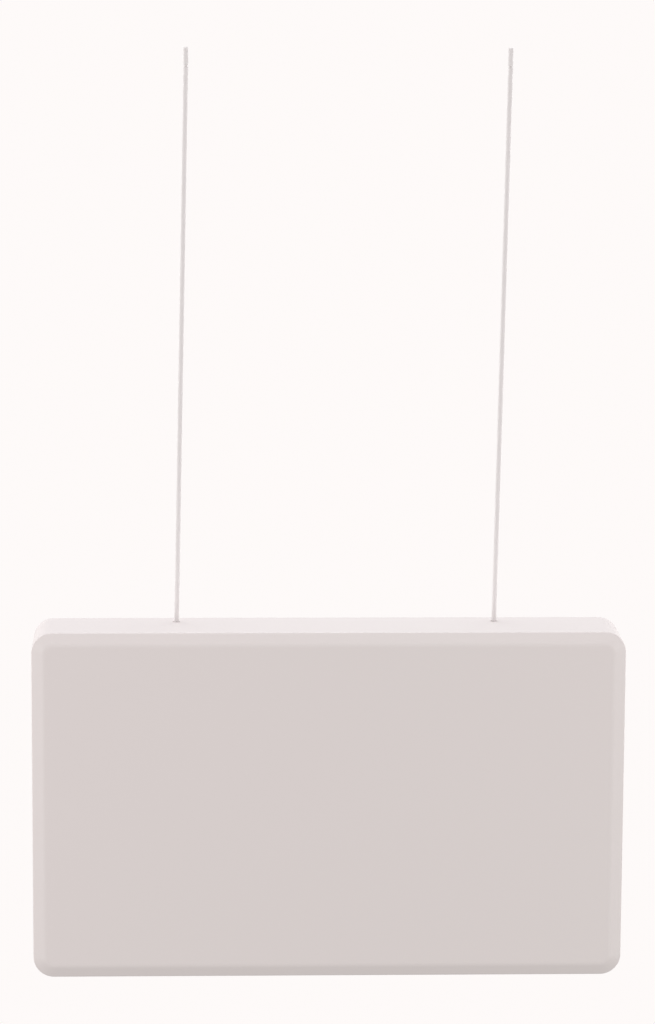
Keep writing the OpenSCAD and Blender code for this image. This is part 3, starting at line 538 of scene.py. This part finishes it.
def soften(obj, width, angle=35, segments=2):
    """Rounds an object's sharp edges."""
    modifier = obj.modifiers.new("edges", "BEVEL")
    modifier.width = width
    modifier.segments = segments
    modifier.limit_method = "ANGLE"
    modifier.angle_limit = math.radians(angle)
    modifier.use_clamp_overlap = True
    settle(obj)


# ---------------------------------------------------------------- shells

def front_shell():
    """The front cover: a flat face, a soft turn, the bevel, a round, and the hollow behind them."""
    flat = (BEVEL_D - BEVEL_R * (1 - math.cos(BEVEL_SLOPE))) / math.tan(BEVEL_SLOPE)
    start = flat + BEVEL_R * math.sin(BEVEL_SLOPE)
    turn = [BEVEL_SLOPE * i / 12 for i in range(13)]
    face = [(start - BEVEL_R * math.sin(a), BEVEL_R * (1 - math.cos(a))) for a in turn]
    edge = [BEVEL_SLOPE + (math.pi / 2 - BEVEL_SLOPE) * i / 10 for i in range(11)]
    rim = [(RIM_R * (1 - math.sin(a)), COVER_D - RIM_R * math.cos(a)) for a in edge]
    inner_r = BEVEL_R - WALL
    inner = [(start - inner_r * math.sin(a), BEVEL_R - inner_r * math.cos(a)) for a in reversed(turn)]
    end_inset, end_z = inner[0]
    lip = (end_inset - (COVER_D - end_z) / math.tan(BEVEL_SLOPE), COVER_D)
    bm = bmesh.new()
    loft(bm, shell_rows(face + rim + [lip] + inner))
    shell = mesh_object("cover_shell", bm, plastic)
    weigh_normals(shell)
    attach(shell, "housing")
    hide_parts("front_cover")


POST_X = WIDTH / 2 - 58 * MM
SCREW_POSTS = [(x, y) for x in (-POST_X, POST_X) for y in (42 * MM, HEIGHT - 42 * MM)]
SCREW_POSTS += [(-90 * MM, HEIGHT - 42 * MM), (90 * MM, HEIGHT - 42 * MM)]
COVER_SCREWS = [72 * MM - WIDTH / 2, -84 * MM, 84 * MM, WIDTH / 2 - 72 * MM]
COVER_SCREW_Z = SEAM + 7 * MM


def rear_shell():
    """The rear housing with its openings, cut through a wall of real thickness."""
    inside_r = BACK_R - WALL
    line = arc(WALL + inside_r, DEPTH - WALL - inside_r, inside_r, 90, 180, 4)
    line += [(WALL, SEAM)]
    line += arc(EDGE_R, SEAM + EDGE_R, EDGE_R, 270, 180, 3)
    line += arc(BACK_R, DEPTH - BACK_R, BACK_R, 180, 90, 10)
    bm = bmesh.new()
    loft(bm, shell_rows(line))
    shell = mesh_object("rear_shell", bm, plastic)

    through = (DEPTH - WALL - 2 * MM, DEPTH + 2 * MM)
    x0 = hatch_low.x - MIDDLE - HATCH_GAP
    x1 = hatch_high.x - MIDDLE + HATCH_GAP
    y0 = TOP - hatch_high.z - HATCH_GAP
    y1 = TOP - hatch_low.z + HATCH_GAP
    bm = bmesh.new()
    back_prism(bm, box_outline(x0, y0, x1, y1), *through)
    cut(shell, "opening_cutter", bm)

    bm = bmesh.new()
    back_prism(bm, disc(x1 + 1 * MM, BAY_DOWN, SCOOP_R, 40), *through)
    cut(shell, "scoop_cutter", bm)

    bm = bmesh.new()
    for side in (-1, 1):
        for y in (VENT_UPPER, HEIGHT - VENT_LOWER):
            for i in range(VENT_COUNT):
                x = side * VENT_X + (i - (VENT_COUNT - 1) / 2) * VENT_STEP
                back_prism(bm, slot_outline(x, y, VENT_W, VENT_H), *through)
    for x, y in SCREW_POSTS:
        back_prism(bm, disc(x, y, HEAD_POCKET_R, 32), DEPTH - HEAD_POCKET_D + HEAD_SKIN, DEPTH + PAST)
    x0, x1 = plate_low.x - MIDDLE - PLATE_GAP, plate_high.x - MIDDLE + PLATE_GAP
    y0, y1 = TOP - plate_high.z - PLATE_GAP, TOP - plate_low.z + PLATE_GAP
    back_prism(bm, box_outline(x0, y0, x1, y1, 2 * MM), DEPTH - PLATE_POCKET_D, DEPTH + PAST)
    for side_name in ("left", "right"):
        ball = middle("lower_ball_" + side_name)
        rows = []
        for y in (-PAST, WALL + PAST):
            r = (BALL_DOWN - y) * math.tan(SEAT_TILT) + WIRE_R / math.cos(SEAT_TILT) + 0.2 * MM
            rows.append([at(x, y, z) for x, z in disc(ball.x - MIDDLE, ball.y - FRONT, r, 40)])
        loft(bm, rows)
    cut(shell, "back_cutter", bm)

    bm = bmesh.new()
    for x in COVER_SCREWS:
        pocket, bore = disc(x, COVER_SCREW_Z, COVER_POCKET_R, 28), disc(x, COVER_SCREW_Z, 1.6 * MM, 20)
        down_prism(bm, pocket, HEIGHT - COVER_POCKET_D, HEIGHT + PAST)
        down_prism(bm, bore, HEIGHT - WALL - PAST, HEIGHT - COVER_POCKET_D + 0.1 * MM)
    z0, z1 = light_low.y - FRONT + LIGHT_FLANGE, light_high.y - FRONT - LIGHT_FLANGE
    half = (light_high.x - light_low.x) / 2 - LIGHT_FLANGE
    down_prism(bm, box_outline(-half, z0, half, z1), HEIGHT - WALL - PAST, HEIGHT + PAST)
    for i in range(-3, 4):
        for j in range(-2, 3):
            if i * i + j * j < 12:
                hole = disc(SOUND_X + i * SOUND_STEP, (z0 + z1) / 2 + j * SOUND_STEP, SOUND_R, 16)
                down_prism(bm, hole, HEIGHT - WALL - PAST, HEIGHT + PAST)
    cut(shell, "under_cutter", bm)

    soften(shell, 0.22 * MM, 50, 2)
    shade(shell.data, 32)
    weigh_normals(shell)
    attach(shell, "housing")
    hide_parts("rear_housing")


# ---------------------------------------------------------------- wires

def wire(side_name):
    """A coated rope between its two balls, with the lay of its strands showing through the coat."""
    low = middle("lower_ball_" + side_name)
    high = middle("upper_ball_" + side_name)
    along = high - low
    length = along.length
    direction = along.normalized()
    turn = direction.to_track_quat("Z", "Y").to_matrix()
    steps = 48
    cup = BALL_R + CUP_SLIP
    start = math.sqrt(cup ** 2 - ROPE_R ** 2) + 0.02 * MM
    ends = [(start, ROPE_R), (NECK - 0.05 * MM, ROPE_R), (NECK, WIRE_R - 0.3 * MM),
            (NECK + 0.1 * MM, WIRE_R - 0.1 * MM), (NECK + 0.3 * MM, WIRE_R - 0.02 * MM)]
    ring_step = 1.5 * MM
    first = NECK + 1 * MM
    count = int((length - 2 * first) / ring_step)
    body = [(first + i * (length - 2 * first) / count, None) for i in range(count + 1)]
    line = ends + body + [(length - h, r) for h, r in reversed(ends)]
    rows = []
    for h, r in line:
        row = []
        for i in range(steps):
            a = 2 * math.pi * i / steps
            lay = 0.5 + 0.5 * math.cos(STRANDS * (a - 2 * math.pi * h / LAY))
            radius = r if r is not None else WIRE_R - LAY_DEPTH * (1 - lay)
            row.append(low + turn @ Vector((radius * math.cos(a), radius * math.sin(a), h)))
        rows.append(row)
    bm = bmesh.new()
    loft(bm, rows)
    piece = mesh_object("coated_wire_" + side_name, bm, MATERIALS["wire_coating"], 40)
    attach(piece, "wire_" + side_name)
    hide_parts("wire_" + side_name)
    fitting = end_fitting(side_name)


def end_fitting(side_name):
    """The turned socket that grips the wire's upper ball, rounded at its ends and open below."""
    node = "end_socket_" + side_name
    low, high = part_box(node)
    r = (high.x - low.x) / 2
    length = high.z - low.z
    cup = BALL_R + CUP_SLIP
    ball = middle("upper_ball_" + side_name).z - low.z
    mouth = math.degrees(math.asin(ball / cup))
    edge = 0.3 * MM
    line = [(h[0], h[1]) for h in arc(0, ball, cup, 90, -mouth, 10)]
    line += [(r - edge, 0)]
    line += arc(r - edge, edge, edge, 270, 360, 4)
    line += arc(r - edge, length - edge, edge, 0, 90, 4)
    line += [(0.5 * MM, length), (0, length - 0.3 * MM)]
    bm = bmesh.new()
    turned(bm, ((low.x + high.x) / 2, (low.y + high.y) / 2, low.z), (0, 0, 1), line, 40)
    piece = mesh_object("end_fitting_" + side_name, bm, MATERIALS["end_fitting"], 40)
    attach(piece, "ceiling_ends")
    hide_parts(node)
    return piece


# ---------------------------------------------------------------- hatch

def hatch_panel():
    """The hatch: a flat panel that runs into its hinge barrel, with the cable outlet in its top edge."""
    x0 = hatch_low.x - MIDDLE + BARREL_R
    x1 = hatch_high.x - MIDDLE
    y0 = TOP - hatch_high.z
    y1 = TOP - hatch_low.z
    corner = HATCH_CORNER_R
    notch = arc(OUTLET_X, y0 + OUTLET_H - OUTLET_R, OUTLET_R, 180, 0, 16)
    outline = [(x0, y0), (OUTLET_X - OUTLET_R, y0)] + notch + [(OUTLET_X + OUTLET_R, y0)]
    outline += arc(x1 - corner, y0 + corner, corner, 270, 360, 5)
    outline += arc(x1 - corner, y1 - corner, corner, 0, 90, 5)
    outline += [(x0, y1)]
    bm = bmesh.new()
    back_prism(bm, outline, DEPTH - HATCH_T, DEPTH)
    panel = mesh_object("hatch_panel", bm, plastic)
    soften(panel, 0.4 * MM, 50, 3)
    shade(panel.data, 32)
    weigh_normals(panel)
    bm = bmesh.new()
    pin = HINGE_PIN_R + CUP_SLIP
    centre = at(x0, y1, DEPTH - BARREL_R)
    span_h = y1 - y0
    edge = 0.3 * MM
    line = [(0, HINGE_PIN_SEAT), (pin, HINGE_PIN_SEAT), (pin, 0), (BARREL_R - edge, 0),
            (BARREL_R, edge), (BARREL_R, span_h - edge), (BARREL_R - edge, span_h), (pin, span_h),
            (pin, span_h - HINGE_PIN_SEAT), (0, span_h - HINGE_PIN_SEAT)]
    turned(bm, centre, (0, 0, 1), line, 40)
    barrel = mesh_object("hatch_barrel", bm, plastic)
    for piece in (panel, barrel):
        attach(piece, "hatch")
    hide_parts("hatch")


# ---------------------------------------------------------------- trim

def screws(name, node, spots, axis, head_r, head_h, shaft_r, length):
    """Pan-head screws with a hexagonal socket; spots are the seats under their heads."""
    bm = bmesh.new()
    rotation = Vector(axis).to_track_quat("Z", "Y").to_matrix()
    socket = 0.48 * head_r
    steps = 30
    line = [(0, -length), (shaft_r * 0.7, -length), (shaft_r, -length + shaft_r * 0.4), (shaft_r, 0)]
    line += [(head_r, 0)]
    for c, s in arc(0, 0, 1, 0, 60, 6):
        line.append((head_r * (0.55 + 0.45 * c), head_h * (0.35 + 0.65 * s / 0.866)))
    hexagon = []
    for i in range(steps):
        a = 2 * math.pi * i / steps
        r = socket * math.cos(math.pi / 6) / math.cos((a % (math.pi / 3)) - math.pi / 6)
        hexagon.append((r * math.cos(a), r * math.sin(a)))
    rings = [(disc(0, 0, max(r, TINY_R), steps), h) for r, h in line]
    rings += [(hexagon, head_h), (hexagon, 0.35 * head_h)]
    for spot in spots:
        rows = [[Vector(spot) + rotation @ Vector((x, y, h)) for x, y in ring] for ring, h in rings]
        loft(bm, rows)
    piece = mesh_object(name, bm, MATERIALS["zinc_steel"], 35)
    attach(piece, "housing")
    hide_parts(node)


def rating_plate():
    """A blank metal plate with rounded corners and a pressed border."""
    x0, x1 = plate_low.x - MIDDLE, plate_high.x - MIDDLE
    y0, y1 = TOP - plate_high.z, TOP - plate_low.z
    z0, z1 = plate_low.y - FRONT, plate_high.y - FRONT
    rows = []
    groove = z1 - 0.12 * MM
    for inset, z in ((0, z0), (0, z1 - 0.1 * MM), (0.1 * MM, z1), (2 * MM, z1), (2.15 * MM, groove),
                     (2.6 * MM, groove), (2.75 * MM, z1)):
        r = max(1.7 * MM - inset / 2, 0.3 * MM)
        outline = box_outline(x0 + inset, y0 + inset, x1 - inset, y1 - inset, r)
        rows.append([at(x, y, z) for x, y in outline])
    bm = bmesh.new()
    loft(bm, rows)
    piece = mesh_object("blank_plate", bm, MATERIALS["label_metal"], 25)
    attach(piece, "housing")
    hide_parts("rating_plate")


def light_window():
    """The alarm light's milky window: a flange inside, and a face with softened edges."""
    flange = LIGHT_FLANGE
    x = (light_high.x - light_low.x) / 2 - flange - LIGHT_GAP
    z0, z1 = light_low.y - FRONT + flange + LIGHT_GAP, light_high.y - FRONT - flange - LIGHT_GAP
    bm = bmesh.new()
    down_prism(bm, box_outline(-x, z0, x, z1), HEIGHT - WALL - 0.02 * MM, HEIGHT)
    rim = box_outline(-x - flange, z0 - flange, x + flange, z1 + flange)
    down_prism(bm, rim, HEIGHT - WALL - LIGHT_FLANGE_T, HEIGHT - WALL)
    piece = mesh_object("light_window", bm, MATERIALS["diffuser_plastic"])
    soften(piece, 0.3 * MM, 50, 3)
    shade(piece.data, 32)
    weigh_normals(piece)
    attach(piece, "housing")
    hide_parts("light_diffuser")


# ---------------------------------------------------------------- stage and light

WHITE = (0.99, 0.955, 0.945, 1)


def split_by_ray(tree, seen, other):
    """A shader that is one thing to the camera and another to light."""
    path = tree.nodes.new("ShaderNodeLightPath")
    mix = tree.nodes.new("ShaderNodeMixShader")
    tree.links.new(path.outputs["Is Camera Ray"], mix.inputs[0])
    tree.links.new(other.outputs[0], mix.inputs[1])
    tree.links.new(seen.outputs[0], mix.inputs[2])
    return mix


def make_floor():
    """A wide floor, white to the camera; it throws less light up from below the part than from afar."""
    half, below = 30, 1.2
    bm = bmesh.new()
    for x, y in ((-half, -half), (half, -half), (half, half), (-half, half)):
        bm.verts.new((x, y, cad_low.z - below))
    bm.faces.new(bm.verts)
    material, tree, _ = new_material("stage_white")
    glow = tree.nodes.new("ShaderNodeEmission")
    glow.inputs["Color"].default_value = WHITE
    pale = tree.nodes.new("ShaderNodeEmission")
    coords = tree.nodes.new("ShaderNodeTexCoord")
    away = tree.nodes.new("ShaderNodeVectorMath")
    away.operation = "LENGTH"
    tree.links.new(coords.outputs["Object"], away.inputs[0])
    near = tree.nodes.new("ShaderNodeMapRange")
    near.inputs["From Min"].default_value = 1.25 + abs(cad_low.z)
    near.inputs["From Max"].default_value = 1.6 + abs(cad_low.z)
    tree.links.new(away.outputs["Value"], near.inputs["Value"])
    tree.links.new(shades(tree, near.outputs["Result"], (0.1, 0.098, 0.096), (0.54, 0.524, 0.516), 0, 1),
                   pale.inputs["Color"])
    mix = split_by_ray(tree, glow, pale)
    tree.links.new(mix.outputs[0], tree.nodes["Material Output"].inputs["Surface"])
    mesh_object("stage_floor", bm, material)


def make_world():
    """White to the camera, and a soft grey fill to light."""
    world = bpy.data.worlds.new("studio")
    bpy.context.scene.world = world
    world.use_nodes = True
    tree = world.node_tree
    fill = tree.nodes["Background"]
    fill.inputs["Color"].default_value = (0.552, 0.533, 0.533, 1)
    seen = tree.nodes.new("ShaderNodeBackground")
    seen.inputs["Color"].default_value = WHITE
    mix = split_by_ray(tree, seen, fill)
    tree.links.new(mix.outputs[0], tree.nodes["World Output"].inputs["Surface"])


def softbox(name, azimuth, elevation, distance, size, radiance, colour=(1, 1, 1)):
    """A square light that faces the housing; azimuth 0 is in front of it."""
    data = bpy.data.lights.new(name, "AREA")
    data.shape = "SQUARE"
    data.size = size
    data.energy = radiance * math.pi * size ** 2
    data.color = colour
    lamp = bpy.data.objects.new(name, data)
    a, e = math.radians(azimuth), math.radians(elevation)
    away = Vector((math.sin(a) * math.cos(e), -math.cos(a) * math.cos(e), math.sin(e)))
    target = at(0, HEIGHT / 2, DEPTH / 2)
    lamp.location = target + away * distance
    lamp.rotation_euler = (-away).to_track_quat("-Z", "Y").to_euler()
    bpy.context.collection.objects.link(lamp)


def make_lights():
    softbox("left_box", -56, 1, 3.2, 2.2, 2.42)
    softbox("right_box", 56, 1, 3.2, 2.2, 2.15)
    softbox("back_left_box", -124, 8, 3.2, 2.2, 2.28)
    softbox("back_right_box", 124, 8, 3.2, 2.2, 2.28)
    softbox("overhead_box", 180, 77, 3.0, 2.3, 3.25, (0.975, 1.02, 1.06))


# ---------------------------------------------------------------- build

dress_frame()
front_shell()
rear_shell()
for side_name in ("left", "right"):
    wire(side_name)
hatch_panel()
rating_plate()
light_window()
screws("back_screws", "housing_screws", [at(x, y, DEPTH - HEAD_POCKET_D) for x, y in SCREW_POSTS], (0, 1, 0),
       HEAD_R, HEAD_H, SCREW_R, 16 * MM)
screws("under_screws", "cover_screws", [at(x, HEIGHT - COVER_POCKET_D, COVER_SCREW_Z) for x in COVER_SCREWS],
       (0, 0, -1), COVER_HEAD_R, COVER_HEAD_H, COVER_SCREW_R, 8 * MM)
make_floor()
make_world()
make_lights()
bpy.context.scene.view_settings.view_transform = "Standard"
